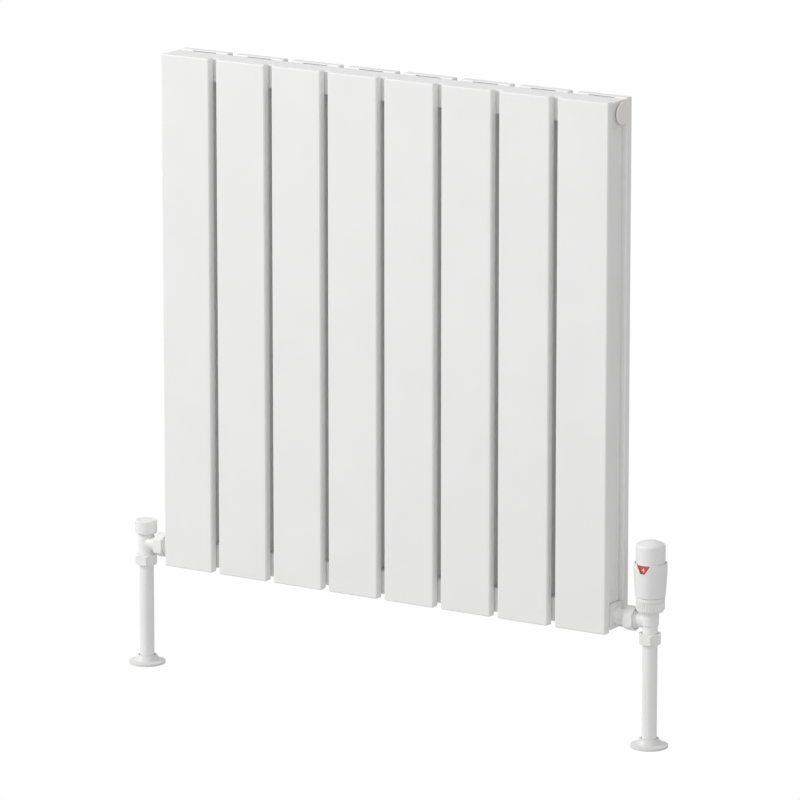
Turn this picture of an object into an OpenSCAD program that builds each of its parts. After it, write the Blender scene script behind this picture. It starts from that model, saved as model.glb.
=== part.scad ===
// Double flat-panel column radiator with a thermostatic valve, a lockshield valve,
// their floor pipes and the wall brackets that carry it.
// Frame: X runs along the radiator, Y runs from the room to the wall, Z is up.
// Origin: centre of the pattern of wall fixing holes, on the wall's plane.

/* [Radiator] */
// Height of the panels
body_h = 600; // [400:10:900]
// Number of panels in each row
panel_count = 8; // [6:1:12]
// Width of one flat panel
panel_w = 65; // [50:1:80]
// Gap between neighbouring panels
panel_gap = 9.714; // [8:0.001:20]
// Depth of one flat panel
panel_t = 11; // [9:0.5:16]
// Rounding of the panels' long edges
panel_r = 2; // [1:0.25:3]
// Thickness of the panels' steel
panel_wall = 1.5; // [1:0.1:2]
// Clearance between the back of the radiator and the wall
wall_gap = 30; // [26:1:60]

/* [Headers] */
// Depth of a header tube
header_d = 27; // [27:1:40]
// Height of a header tube
header_h = 28; // [28:1:40]
// Wall of a header tube
header_wall = 2; // [1.5:0.1:2.5]
// Distance between a header and the panels' ends
header_top_gap = 1; // [0.5:0.5:4]
// Distance between the lower header and the panels' lower ends
header_foot_gap = 3; // [1:0.5:6]
// Height of the raised welds that hold the panels off the headers
standoff = 1.5; // [1:0.25:3]
// Width of the open slot between the two welds of one panel
slot_w = 32; // [20:1:36]

/* [Valves] */
// Distance from the panels' end to the centre of a pipe
pipe_offset = 43; // [43:0.5:50]
// Outer diameter of the copper pipe
pipe_d = 15; // [15:0.1:15.2]
// Inner diameter of the copper pipe
pipe_bore = 13.6; // [13:0.1:13.6]
// Outer diameter of the sleeve over the pipe
sleeve_d = 17; // [16.8:0.1:17.4]
// Height of the panels' lower ends above the floor
floor_gap = 128; // [80:0.1:250]
// Outer diameter of a floor collar
collar_d = 42.7; // [36:0.1:50]
// Width across flats of a compression nut
comp_nut_af = 24; // [23.5:0.5:26]
// Width across flats of a union nut
union_nut_af = 25.2; // [25:0.1:28]

/* [Thermostatic head] */
// Outer radius of the head's rim
head_rim_r = 18.7; // [18:0.1:19.2]
// Radius of the turning dome
dome_r = 16.5; // [16.3:0.1:16.6]
// Number of knurls around the ring nut
knurls = 40; // [24:1:80]

/* [Hidden] */

$fn = 64;
eps = 0.01;                       // reach of a cut past the surface it opens

steel_white = "white";
brass = "goldenrod";
seal_black = "dimgray";
spring_steel = "silver";

// Radiator layout
pitch = panel_w + panel_gap;
body_w = panel_count * pitch - panel_gap;
body_d = 2 * (panel_t + standoff) + header_d;
front_y = -wall_gap - body_d;                 // front faces
front_back_y = front_y + panel_t;             // back of the front panels
rear_front_y = -wall_gap - panel_t;           // front of the rear panels
header_y = (front_back_y + rear_front_y) / 2; // centre of headers and valves
top_header_z = body_h / 2 - header_top_gap - header_h / 2;
low_header_z = -body_h / 2 + header_foot_gap + header_h / 2;
header_inset = 0.5;                           // header ends stand inside the panels' ends
header_end_x = body_w / 2 - header_inset;
cap_t = 3;                                    // thickness of a header's end plate
bush_r = 11.4;
bush_len = 14;
bush_proud = 1;
thread_r = 9.9;                               // mean radius of the half-inch pipe thread
plug_stem = 11;
plug_head_r = 13.25;
plug_head_t = 2.6;
plug_seal_r = 11.8;
plug_seal_t = 1;
plug_face = bush_proud + plug_seal_t + plug_head_t;
vent_r = 2.5;
vent_key = 5;
vent_key_len = 4;
pad_inset = 2.5;
pad_w = (panel_w - slot_w) / 2 - pad_inset;
pad_x = slot_w / 2 + pad_w / 2;
pad_h = header_h - 1;
port_w = 6;
port_h = 14;

// Convector channels
channel_inset = 5.4;
channel_wall = 1;
channel_end_gap = 0.5;
front_leg = 22;
leg_gap = 0.4;
rear_leg = 2 * standoff + header_d - front_leg - leg_gap;

// Wall brackets: one hole each, the lug's pin above it
bracket_x = (panel_count / 2 - 1.5) * pitch;
bracket_z = 200;
lug_rise = 24;                                // pin above the fixing hole
fix_hole_r = 4;
pin_r = 4;
pin_len = 36;
pin_y = -14;
bracket_sheet = 2.5;
arm_inner = 12;
liner_wall = 1;
lug_plate_t = 2;

// Valve axes
valve_x = body_w / 2 + pipe_offset;
floor_z = -body_h / 2 - floor_gap;
floor_drop = low_header_z - floor_z;          // branch axis down to the floor
pipe_r = pipe_d / 2;
sleeve_r = sleeve_d / 2;
sleeve_bore_r = pipe_r + 0.2;
run_gap = 0.05;                               // radial clearance of a running fit

// Heights inside a valve, from its branch axis
nut_foot_z = -26;
nut_top_z = -14;
nut_lip = 1.5;
joint_r = 10;                                 // male thread under the compression nut
joint_foot_z = -20.5;
joint_top_z = -15;
pipe_stop_z = -9;
seat_z = -6;
seat_r = 4.5;
chamber_r = 6.8;
water_r = 5;
olive_r = 9.6;

// Lengths along a branch, from the valve's axis towards the radiator
union_foot = 17;
union_end = 29;
union_lip = 2.5;
union_thread_r = 11;
branch_end = 24.5;
tail_r = 9.1;
tail_bore_r = 6.5;

// Thermostatic head heights, from the branch axis
trv_shoulder_z = -4.4;
trv_low_r = 8.65;
trv_r = 9.9;
trv_branch_r = 9;
collar_foot_z = 12;
collar_top_z = 20;
head_thread_r = 14;
ring_foot_z = 11.5;
ring_chamfer_z = 14.4;
ring_top_z = 22.5;
ring_r = 16.2;
base_top_z = 28.2;
base_hole_r = 10.5;
cage_r = 13.4;
cage_wall = 1.4;
cage_top_z = 58;
rim_z = 67;
sleeve_step_z = 48;
sleeve_low_bore_r = 14.8;
sleeve_top_bore_r = 17.4;
band_foot_z = 56;
band_t = 1;
dome_foot_z = 50;
dome_bore_r = 14.5;
dome_shoulder_z = 83.7;
dome_top_z = 92.5;
notch_foot_z = 57;
notch_top_half_w = 9.2;
notch_foot_half_w = 2.8;
sensor_r = 11.5;
sensor_foot_z = 34;
sensor_top_z = 60;
spring_top_z = 70;
carrier_top_z = 73;

// Valve pin, disc and plug: lift above the seat at rest
rest_lift = 2.5;
disc_r = 5.8;
disc_t = 2;
trv_pin_r = 2;
trv_pin_top_z = 26;
insert_foot_z = 6;
insert_head_z = 22;
insert_af = 17;

// Lockshield heights, from the branch axis
lock_r = 9.2;
lock_branch_r = 8.7;
lock_top_z = 14;
cap_foot_z = 11.4;
cap_top_z = 26.7;
cap_r = 12.85;
cap_wall = 1.5;
bonnet_foot_z = 5;
bonnet_head_z = 18;
bonnet_af = 15;
spindle_r = 3;
spindle_thread_r = 2;
spindle_top_z = 22;
plug_top_z = 3;
spindle_foot_z = -0.5;
spindle_step_z = 4.7;
seal_z = 10;
seal_wire_r = 0.7;

// ---------------------------------------------------------------- helpers

// Rectangle with exact round corners, centred
module round_rect(w, h, r) {
    square([w - 2 * r, h], center = true);
    square([w, h - 2 * r], center = true);
    for (x = [-1, 1], y = [-1, 1])
        translate([x * (w / 2 - r), y * (h / 2 - r)]) circle(r);
}

// Slot with round ends, its long side along Y, centred
module obround(w, h) {
    square([w, h - w], center = true);
    for (y = [-1, 1]) translate([0, y * (h - w) / 2]) circle(w / 2);
}

// Ring of an outer and an inner radius between two heights
module ring(r_out, r_in, z0, z1) {
    translate([0, 0, z0]) difference() {
        cylinder(r = r_out, h = z1 - z0);
        translate([0, 0, -eps]) cylinder(r = r_in, h = z1 - z0 + 2 * eps);
    }
}

// Plain cylinder between two heights
module rod(r, z0, z1) {
    translate([0, 0, z0]) cylinder(r = r, h = z1 - z0);
}

// Hexagonal prism between two heights, one flat towards -Y
module hex_rod(af, z0, z1) {
    translate([0, 0, z0]) cylinder(d = af / cos(30), h = z1 - z0, $fn = 6);
}

// Double cone that rounds a nut's corners
module nut_chamfer(af, z0, z1) {
    edge_r = af / 2 + 0.4;
    corner_r = af / 2 / cos(30) + 0.2;
    rise = (corner_r - edge_r) * 0.6;
    rotate_extrude() polygon([
        [0, z0], [edge_r, z0], [corner_r, z0 + rise],
        [corner_r, z1 - rise], [edge_r, z1], [0, z1]]);
}

// Lays a shape that was drawn along +Z along +X
module along_x() {
    rotate([0, 90, 0]) children();
}

// Coil spring with closed outline, n turns of wire radius w on mean radius r
module coil_spring(r, w, z0, z1, n) {
    steps = n * 16;
    sides = 6;
    rise = z1 - z0 - 2 * w;
    pts = [for (i = [0:steps], k = [0:sides - 1])
        let (a = i * 22.5, b = k * 360 / sides, rr = r + w * cos(b))
        [rr * cos(a), rr * sin(a), z0 + w + rise * i / steps + w * sin(b)]];
    skin = [for (i = [0:steps - 1], k = [0:sides - 1])
        let (j = (k + 1) % sides, c = i * sides, d = c + sides)
        [c + j, d + j, d + k, c + k]];
    first = [for (k = [sides - 1:-1:0]) k];
    last = [for (k = [0:sides - 1]) steps * sides + k];
    polyhedron(points = pts, faces = concat(skin, [first], [last]), convexity = 10);
}

function panel_x(i) = (i - 1 - (panel_count - 1) / 2) * pitch;

// Copies children at the four header ends, drawn at the right with +X outwards
module at_header_ends() {
    for (z = [low_header_z, top_header_z]) at_ends(z) children();
}

module at_ends(z) {
    translate([0, header_y, z]) {
        translate([header_end_x, 0, 0]) children();
        mirror([1, 0, 0]) translate([header_end_x, 0, 0]) children();
    }
}

// Places a valve part: side 1 is the right valve, -1 the left one, branch towards the middle
module at_valve(side) {
    translate([side * valve_x, header_y, low_header_z])
        mirror([side < 0 ? 1 : 0, 0, 0]) children();
}

module at_both_valves() {
    at_valve(1) children();
    at_valve(-1) children();
}

// Lays a shape drawn along +Z along the branch, towards the radiator
module along_branch() {
    rotate([0, -90, 0]) children();
}

module at_brackets() {
    for (x = [-1, 1], z = [-1, 1])
        translate([x * bracket_x, 0, z * bracket_z]) children();
}

// ---------------------------------------------------------------- radiator

// Hollow flat panel about its own centre, ports open towards +Y
module panel() {
    inner_r = max(panel_r - panel_wall, 0.2);
    difference() {
        translate([0, 0, -body_h / 2])
            linear_extrude(body_h) round_rect(panel_w, panel_t, panel_r);
        translate([0, 0, -body_h / 2 + panel_wall])
            linear_extrude(body_h - 2 * panel_wall)
                round_rect(panel_w - 2 * panel_wall, panel_t - 2 * panel_wall, inner_r);
        panel_ports(panel_t / 2);
    }
}

// Obround waterways centred on the two welds at each header
module panel_ports(y) {
    for (x = [-pad_x, pad_x], z = [low_header_z, top_header_z])
        translate([x, y, z]) rotate([90, 0, 0])
            translate([0, 0, -panel_wall]) linear_extrude(2 * panel_wall) obround(port_w, port_h);
}

module front_panel(i) {
    color(steel_white) translate([panel_x(i), (front_y + front_back_y) / 2, 0]) panel();
}

module rear_panel(i) {
    color(steel_white) translate([panel_x(i), rear_front_y + panel_t / 2, 0])
        mirror([0, 1, 0]) panel();
}

// Open channel on the back of one panel, opening towards +Y
module channel(leg) {
    low = low_header_z + header_h / 2 + channel_end_gap;
    high = top_header_z - header_h / 2 - channel_end_gap;
    half = panel_w / 2 - channel_inset;
    translate([0, 0, low]) linear_extrude(high - low) {
        translate([-half, 0]) square([2 * half, channel_wall]);
        translate([-half, 0]) square([channel_wall, leg]);
        translate([half - channel_wall, 0]) square([channel_wall, leg]);
    }
}

module front_convectors() {
    color(steel_white) for (i = [1:panel_count])
        translate([panel_x(i), front_back_y, 0]) channel(front_leg);
}

module rear_convectors() {
    color(steel_white) for (i = [1:panel_count])
        translate([panel_x(i), rear_front_y, 0]) mirror([0, 1, 0]) channel(rear_leg);
}

// Raised welds between panels and headers, each round its waterway
module weld_pads(y0) {
    for (i = [1:panel_count], x = [-pad_x, pad_x], z = [low_header_z, top_header_z])
        translate([panel_x(i) + x, y0, z]) rotate([-90, 0, 0]) linear_extrude(standoff)
            difference() {
                round_rect(pad_w, pad_h, 1.5);
                obround(port_w, port_h);
            }
}

module front_weld_pads() {
    color(steel_white) weld_pads(front_back_y);
}

module rear_weld_pads() {
    color(steel_white) weld_pads(rear_front_y - standoff);
}

// Square header tube with a row of waterways to both rows of panels
module header(z) {
    len = 2 * (header_end_x - cap_t);
    translate([0, header_y, z]) difference() {
        rotate([90, 0, 90]) linear_extrude(len, center = true)
            round_rect(header_d, header_h, header_wall);
        cube([len + 1, header_d - 2 * header_wall, header_h - 2 * header_wall], center = true);
        for (i = [1:panel_count], x = [-pad_x, pad_x])
            translate([panel_x(i) + x, 0, 0]) rotate([90, 0, 0])
                linear_extrude(header_d + 1, center = true) obround(port_w, port_h);
    }
}

module top_header() {
    color(steel_white) header(top_header_z);
}

module bottom_header() {
    color(steel_white) header(low_header_z);
}

module header_end_caps() {
    color(steel_white) at_header_ends() difference() {
        rotate([90, 0, 90]) translate([0, 0, -cap_t])
            linear_extrude(cap_t) round_rect(header_d, header_h, header_wall);
        translate([-cap_t - 1, 0, 0]) along_x() cylinder(r = bush_r, h = cap_t + 2);
    }
}

module header_bushes() {
    color(steel_white) at_header_ends()
        along_x() ring(bush_r, thread_r, bush_proud - bush_len, bush_proud);
}

// Round threaded plug: stem, seal groove and a thin rounded head
module plug_profile(bore_r) {
    edge = 1;
    rotate_extrude() polygon(concat(
        [[bore_r, bush_proud - plug_stem], [thread_r, bush_proud - plug_stem],
         [thread_r, bush_proud + plug_seal_t], [plug_head_r, bush_proud + plug_seal_t],
         [plug_head_r, plug_face - edge]],
        [for (a = [22.5:22.5:90])
            [plug_head_r - edge * (1 - cos(a)), plug_face - edge * (1 - sin(a))]],
        [[bore_r, plug_face]]));
}

module plug_seal() {
    ring(plug_seal_r, thread_r, bush_proud, bush_proud + plug_seal_t);
}

module blanking_plug() {
    color("gainsboro") translate([header_end_x, header_y, top_header_z])
        along_x() plug_profile(0);
}

module blanking_plug_seal() {
    color(seal_black) translate([header_end_x, header_y, top_header_z]) along_x() plug_seal();
}

module at_vent() {
    translate([-header_end_x, header_y, top_header_z]) mirror([1, 0, 0]) along_x() children();
}

module air_vent_plug() {
    color("gainsboro") at_vent() plug_profile(vent_r + run_gap);
}

module air_vent_seal() {
    color(seal_black) at_vent() plug_seal();
}

// Spindle that opens the vent, with a square end for the key
module bleed_screw() {
    key_foot = plug_face + 0.2;
    color(brass) at_vent() {
        rod(vent_r, bush_proud - plug_stem + 2, key_foot);
        translate([-vent_key / 2, -vent_key / 2, key_foot]) cube([vent_key, vent_key, vent_key_len]);
    }
}

// ---------------------------------------------------------------- wall fixing

// Lug welded to the back of a rear panel, its ear bored for the cross pin
module bracket_lugs() {
    ear_t = 4;
    ear_h = 18;
    color(steel_white) at_brackets() translate([0, 0, lug_rise]) {
        translate([-14, -wall_gap, -16]) cube([28, lug_plate_t, 32]);
        difference() {
            translate([-ear_t / 2, -wall_gap + lug_plate_t, -ear_h / 2])
                cube([ear_t, pin_y + 7 + wall_gap - lug_plate_t, ear_h]);
            translate([-ear_t, pin_y, 0]) along_x() cylinder(r = pin_r, h = 2 * ear_t);
        }
    }
}

module lug_pins() {
    color(spring_steel) at_brackets() translate([-pin_len / 2, pin_y, lug_rise])
        along_x() cylinder(r = pin_r, h = pin_len);
}

// Two plastic saddles under each pin, one in each arm of the bracket
module bracket_liners() {
    color(seal_black) at_brackets() for (s = [-1, 1])
        translate([s * (arm_inner + bracket_sheet / 2), pin_y, lug_rise]) rotate([90, 0, 90])
            linear_extrude(bracket_sheet + 1, center = true) difference() {
                union() {
                    circle(pin_r + liner_wall);
                    translate([-pin_r - liner_wall, 0])
                        square([2 * (pin_r + liner_wall), 6]);
                }
                circle(pin_r);
                translate([-pin_r, 0]) square([2 * pin_r, 7]);
            }
}

// Bent steel bracket: wall plate with the fixing hole and two slotted arms
module wall_brackets() {
    color(spring_steel) at_brackets() {
        difference() {
            translate([-arm_inner - bracket_sheet, -bracket_sheet, -14])
                cube([2 * (arm_inner + bracket_sheet), bracket_sheet, lug_rise + 22]);
            translate([0, 1, 0]) rotate([90, 0, 0]) cylinder(r = fix_hole_r, h = bracket_sheet + 2);
        }
        for (s = [-1, 1]) bracket_arm(s);
    }
}

module bracket_arm(s) {
    slot_r = pin_r + liner_wall;
    arm_top = lug_rise + 6;
    translate([s * (arm_inner + bracket_sheet / 2), 0, 0]) rotate([90, 0, 90])
        linear_extrude(bracket_sheet, center = true) difference() {
            polygon([[-bracket_sheet, 2], [pin_y - slot_r - 3, lug_rise - 8],
                [pin_y - slot_r - 3, arm_top], [-bracket_sheet, arm_top]]);
            translate([pin_y, lug_rise]) circle(slot_r);
            translate([pin_y - slot_r, lug_rise]) square([2 * slot_r, arm_top]);
        }
}

// ---------------------------------------------------------------- valves

// Waterways shared by both valve bodies: pipe socket, seat, chamber and branch
module valve_waterways(top_z) {
    rod(pipe_r, joint_foot_z - 1, pipe_stop_z);
    rod(seat_r, pipe_stop_z - eps, seat_z + eps);
    rod(chamber_r, seat_z, top_z + 1);
    along_branch() rod(water_r, 0, branch_end + 1);
}

// Branch tube with the male thread for the union nut
module valve_branch(r) {
    along_branch() {
        rod(r, 0, union_foot + 1);
        rod(union_thread_r, union_foot + 0.8, branch_end);
    }
}

module trv_body() {
    color(steel_white) at_valve(1) difference() {
        union() {
            rod(joint_r, joint_foot_z, joint_top_z);
            rod(trv_low_r, joint_top_z, trv_shoulder_z);
            rod(trv_r, trv_shoulder_z, collar_foot_z);
            rod(head_thread_r, collar_foot_z, collar_top_z);
            valve_branch(trv_branch_r);
        }
        valve_waterways(collar_top_z);
    }
}

// Insert that screws into the body and guides the pin
module trv_insert() {
    color(brass) at_valve(1) difference() {
        union() {
            rod(chamber_r, insert_foot_z, collar_top_z);
            hex_rod(insert_af, collar_top_z, insert_head_z);
        }
        rod(trv_pin_r + run_gap, insert_foot_z - 1, insert_head_z + 1);
    }
}

module trv_pin() {
    color(spring_steel) at_valve(1) {
        rod(disc_r, seat_z + rest_lift, seat_z + rest_lift + disc_t);
        rod(trv_pin_r, seat_z + rest_lift + disc_t, trv_pin_top_z);
    }
}

module trv_return_spring() {
    color(spring_steel) at_valve(1)
        coil_spring(3.8, 0.4, seat_z + rest_lift + disc_t, insert_foot_z, 5);
}

// Knurled ring nut that clamps the head to the valve
module trv_ring_nut() {
    knurl_r = 0.45;
    color(steel_white) at_valve(1) difference() {
        rotate_extrude() polygon([
            [head_thread_r, ring_foot_z], [head_thread_r + 0.6, ring_foot_z],
            [ring_r, ring_chamfer_z], [ring_r, ring_top_z], [head_thread_r, ring_top_z]]);
        for (i = [0:knurls - 1]) rotate(i * 360 / knurls) translate([ring_r + 0.1, 0, 0])
            rod(knurl_r, ring_foot_z, ring_top_z + 1, $fn = 16);
    }
}

// Base of the head: seat on the valve, foot ring and the slotted cage
module trv_head_base() {
    color(steel_white) at_valve(1) {
        ring(head_thread_r - 0.1, base_hole_r, collar_top_z, ring_top_z);
        ring(ring_r, base_hole_r, ring_top_z, base_top_z);
        difference() {
            ring(cage_r, cage_r - cage_wall, base_top_z, cage_top_z);
            for (a = [0:60:120]) rotate(a)
                translate([-20, -2.5, base_top_z + 5]) cube([40, 5, cage_top_z]);
        }
    }
}

// Outer sleeve: slightly barrelled, open at the top, with the pointer notch in its rim
module trv_sleeve() {
    foot_r = 16.5;
    waist_r = 17.6;
    belly_r = 18.9;
    color(steel_white) at_valve(1) difference() {
        rotate_extrude($fn = 96) polygon([
            [cage_r, base_top_z], [foot_r - 0.5, base_top_z], [foot_r, base_top_z + 0.5],
            [waist_r, 39], [18.4, 49], [belly_r, 58],
            [head_rim_r, rim_z - 0.5], [head_rim_r - 0.5, rim_z],
            [sleeve_top_bore_r, rim_z], [sleeve_top_bore_r, sleeve_step_z],
            [sleeve_low_bore_r, sleeve_step_z], [sleeve_low_bore_r, base_top_z + 2],
            [cage_r, base_top_z + 2]]);
        rotate([90, 0, 0]) linear_extrude(head_rim_r + 2) polygon([
            [-notch_foot_half_w, notch_foot_z], [notch_foot_half_w, notch_foot_z],
            [notch_top_half_w + 0.6, rim_z + 1], [-notch_top_half_w - 0.6, rim_z + 1]]);
    }
}

// Turning dome: a round shoulder and a shallow crown, with a skirt inside the sleeve
module trv_dome() {
    shoulder_r = 6;
    wall = dome_r - dome_bore_r;
    skirt_r = dome_r - band_t;
    crown_z = dome_shoulder_z + shoulder_r;
    color(steel_white) at_valve(1) rotate_extrude($fn = 96) polygon(concat(
        [[dome_bore_r, dome_foot_z], [skirt_r, dome_foot_z], [skirt_r, rim_z], [dome_r, rim_z],
         [dome_r, crown_z - shoulder_r]],
        [for (a = [10:10:90])
            [dome_r - shoulder_r * (1 - cos(a)), crown_z - shoulder_r * (1 - sin(a))]],
        [for (t = [0.25:0.25:1])
            [(dome_r - shoulder_r) * (1 - t), crown_z + (dome_top_z - crown_z) * t * (2 - t)]],
        [[0, crown_z - wall], [dome_bore_r - 3, crown_z - wall],
         [dome_bore_r, crown_z - wall - 3]]));
}

// Coloured band under the dome, read through the notch
module trv_setting_band() {
    color("orangered") at_valve(1) ring(dome_r, dome_r - band_t, band_foot_z, rim_z);
}

// Liquid-filled sensor that presses the pin
module trv_sensor() {
    color(brass) at_valve(1) {
        rod(4, trv_pin_top_z, sensor_foot_z);
        rod(sensor_r, sensor_foot_z, sensor_top_z);
    }
}

module trv_overtravel_spring() {
    color(spring_steel) at_valve(1) coil_spring(8, 0.8, sensor_top_z, spring_top_z, 4);
}

// Threaded disc that the dome drives up and down
module trv_carrier() {
    color("gainsboro") at_valve(1) rod(dome_bore_r - run_gap, spring_top_z, carrier_top_z);
}

module lockshield_body() {
    color(steel_white) at_valve(-1) difference() {
        union() {
            rod(joint_r, joint_foot_z, joint_top_z);
            rod(lock_r, joint_top_z, lock_top_z);
            valve_branch(lock_branch_r);
        }
        valve_waterways(lock_top_z);
    }
}

module lockshield_bonnet() {
    color(brass) at_valve(-1) difference() {
        union() {
            rod(chamber_r, bonnet_foot_z, lock_top_z);
            hex_rod(bonnet_af, lock_top_z, bonnet_head_z);
        }
        rod(spindle_r + run_gap, bonnet_foot_z - 1, bonnet_head_z + 1);
        ring(spindle_r + 2 * seal_wire_r, spindle_r, seal_z - seal_wire_r, seal_z + seal_wire_r);
    }
}

module lockshield_seal() {
    color(seal_black) at_valve(-1) rotate_extrude()
        translate([spindle_r + seal_wire_r, seal_z]) circle(seal_wire_r - run_gap, $fn = 24);
}

// Spindle that turns in place: square head above, driving thread below
module lockshield_spindle() {
    square_w = 4;
    color(brass) at_valve(-1) {
        rod(spindle_thread_r, spindle_foot_z, spindle_step_z);
        rod(spindle_r, spindle_step_z, bonnet_head_z);
        translate([-square_w / 2, -square_w / 2, bonnet_head_z])
            cube([square_w, square_w, spindle_top_z - bonnet_head_z]);
    }
}

// Plug that the spindle's thread lifts off the seat
module lockshield_plug() {
    color(brass) at_valve(-1) difference() {
        rod(disc_r, seat_z + rest_lift, plug_top_z);
        rod(spindle_thread_r + run_gap, seat_z + rest_lift + 1, plug_top_z + 1);
    }
}

// Push-on cap, gripping the body with an inner rib
module lockshield_cap() {
    edge = 1.5;
    foot_edge = 0.8;
    color(steel_white) at_valve(-1) rotate_extrude() polygon(concat(
        [[cap_r - cap_wall, cap_foot_z], [cap_r - foot_edge, cap_foot_z],
         [cap_r, cap_foot_z + foot_edge], [cap_r, cap_top_z - edge]],
        [for (a = [22.5:22.5:90])
            [cap_r - edge * (1 - cos(a)), cap_top_z - edge * (1 - sin(a))]],
        [[0, cap_top_z], [0, cap_top_z - cap_wall], [cap_r - cap_wall, cap_top_z - cap_wall],
         [cap_r - cap_wall, 13.4], [lock_r + run_gap, 13.4], [lock_r + run_gap, 12.2],
         [cap_r - cap_wall, 12.2]]));
}

// Tail pieces: collar inside the union nut, tube, and thread in the header bush
module valve_tails() {
    bush_face = valve_x - header_end_x - bush_proud;
    color(steel_white) at_both_valves() along_branch() difference() {
        union() {
            rod(10.8, branch_end, union_end - union_lip);
            rod(tail_r, union_end - union_lip - eps, bush_face);
            rod(thread_r, bush_face, bush_face + bush_len - 2);
        }
        rod(tail_bore_r, branch_end - 1, bush_face + bush_len);
    }
}

module union_nuts() {
    color(steel_white) at_both_valves() along_branch() difference() {
        intersection() {
            hex_rod(union_nut_af, union_foot, union_end);
            nut_chamfer(union_nut_af, union_foot, union_end);
        }
        rod(union_thread_r, union_foot - 1, union_end - union_lip);
        rod(tail_r, union_foot, union_end + 1);
    }
}

module compression_nuts() {
    color(steel_white) at_both_valves() difference() {
        intersection() {
            hex_rod(comp_nut_af, nut_foot_z, nut_top_z);
            nut_chamfer(comp_nut_af, nut_foot_z, nut_top_z);
        }
        rod(joint_r, nut_foot_z + nut_lip, nut_top_z + 1);
        rod(pipe_r, nut_foot_z - 1, nut_top_z);
    }
}

// Soft rings that seal the pipes in the valves
module olives() {
    foot = nut_foot_z + nut_lip;
    color(brass) at_both_valves() rotate_extrude() polygon([
        [pipe_r, foot], [pipe_r + 0.8, foot], [olive_r, (foot + joint_foot_z) / 2],
        [pipe_r + 0.8, joint_foot_z], [pipe_r, joint_foot_z]]);
}

module copper_pipes() {
    color("peru") at_both_valves() ring(pipe_r, pipe_bore / 2, -floor_drop, pipe_stop_z);
}

module pipe_sleeves() {
    color(steel_white) at_both_valves() ring(sleeve_r, sleeve_bore_r, -floor_drop, nut_foot_z);
}

// Floor collar: thin disc rising in a cove to a short neck
module floor_collar(side) {
    disc_edge = 3;
    neck_r = 11;
    neck_top = 10;
    cove = 3;
    bore = sleeve_r + run_gap;
    color(steel_white) at_valve(side) translate([0, 0, -floor_drop]) rotate_extrude()
        polygon(concat(
            [[bore, 0], [collar_d / 2, 0], [collar_d / 2, disc_edge - 0.6],
             [collar_d / 2 - 0.6, disc_edge], [neck_r + cove + 3, disc_edge + 0.8]],
            [for (a = [0:22.5:90])
                [neck_r + cove * (1 - sin(a)), disc_edge + 0.8 + cove * (1 - cos(a))]],
            [[neck_r - 0.8, neck_top], [bore, neck_top]]));
}

// ---------------------------------------------------------------- assembly

for (i = [1:panel_count]) {
    front_panel(i);
    rear_panel(i);
}
front_convectors();
rear_convectors();
front_weld_pads();
rear_weld_pads();
top_header();
bottom_header();
header_end_caps();
header_bushes();
blanking_plug();
blanking_plug_seal();
air_vent_plug();
air_vent_seal();
bleed_screw();
bracket_lugs();
lug_pins();
bracket_liners();
wall_brackets();
trv_body();
trv_insert();
trv_pin();
trv_return_spring();
trv_ring_nut();
trv_head_base();
trv_sleeve();
trv_dome();
trv_setting_band();
trv_sensor();
trv_overtravel_spring();
trv_carrier();
lockshield_body();
lockshield_bonnet();
lockshield_seal();
lockshield_spindle();
lockshield_plug();
lockshield_cap();
valve_tails();
union_nuts();
compression_nuts();
olives();
copper_pipes();
pipe_sleeves();
floor_collar(-1);  // floor_collar_left
floor_collar(1);  // floor_collar_right
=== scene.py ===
"""Looks of the flat-panel radiator, its two valves and their pipes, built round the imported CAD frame."""

import math

import bmesh
import bpy
from mathutils import Matrix, Vector


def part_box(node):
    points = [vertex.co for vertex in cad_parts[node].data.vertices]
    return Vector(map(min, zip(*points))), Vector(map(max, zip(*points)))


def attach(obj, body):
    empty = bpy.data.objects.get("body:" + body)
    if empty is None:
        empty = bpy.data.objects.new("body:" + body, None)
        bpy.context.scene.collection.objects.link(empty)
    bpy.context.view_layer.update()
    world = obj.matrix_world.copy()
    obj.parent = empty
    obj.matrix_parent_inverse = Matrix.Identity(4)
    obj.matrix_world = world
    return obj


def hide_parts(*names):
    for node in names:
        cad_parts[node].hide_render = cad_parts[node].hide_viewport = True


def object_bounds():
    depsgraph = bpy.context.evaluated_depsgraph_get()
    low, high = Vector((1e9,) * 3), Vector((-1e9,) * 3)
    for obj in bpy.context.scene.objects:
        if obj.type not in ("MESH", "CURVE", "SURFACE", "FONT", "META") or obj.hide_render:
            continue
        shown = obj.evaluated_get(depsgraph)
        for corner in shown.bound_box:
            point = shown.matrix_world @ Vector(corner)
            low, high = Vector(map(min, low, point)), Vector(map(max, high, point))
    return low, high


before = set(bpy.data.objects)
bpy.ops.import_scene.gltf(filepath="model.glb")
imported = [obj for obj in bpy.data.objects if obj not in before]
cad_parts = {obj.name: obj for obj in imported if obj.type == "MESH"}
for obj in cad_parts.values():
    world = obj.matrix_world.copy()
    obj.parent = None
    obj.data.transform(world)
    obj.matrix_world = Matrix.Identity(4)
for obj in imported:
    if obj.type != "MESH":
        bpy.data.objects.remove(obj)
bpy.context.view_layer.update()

MM = 0.001

# ------------------------------------------------------------------ places, from the frame


def size_of(node):
    low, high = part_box(node)
    return high - low


def centre_of(node):
    low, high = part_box(node)
    return (low + high) / 2


BRANCH_Z = centre_of("bottom_header").z
TRV_AXIS = Vector((centre_of("trv_dome").x, centre_of("trv_dome").y, BRANCH_Z))
LOCK_AXIS = Vector((centre_of("lockshield_cap").x, centre_of("lockshield_cap").y, BRANCH_Z))
VALVE_AXES = ((TRV_AXIS, -1), (LOCK_AXIS, 1))       # axis and the direction of its branch along X
PANEL_COUNT = sum(name.startswith("front_panel_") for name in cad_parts)


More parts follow.
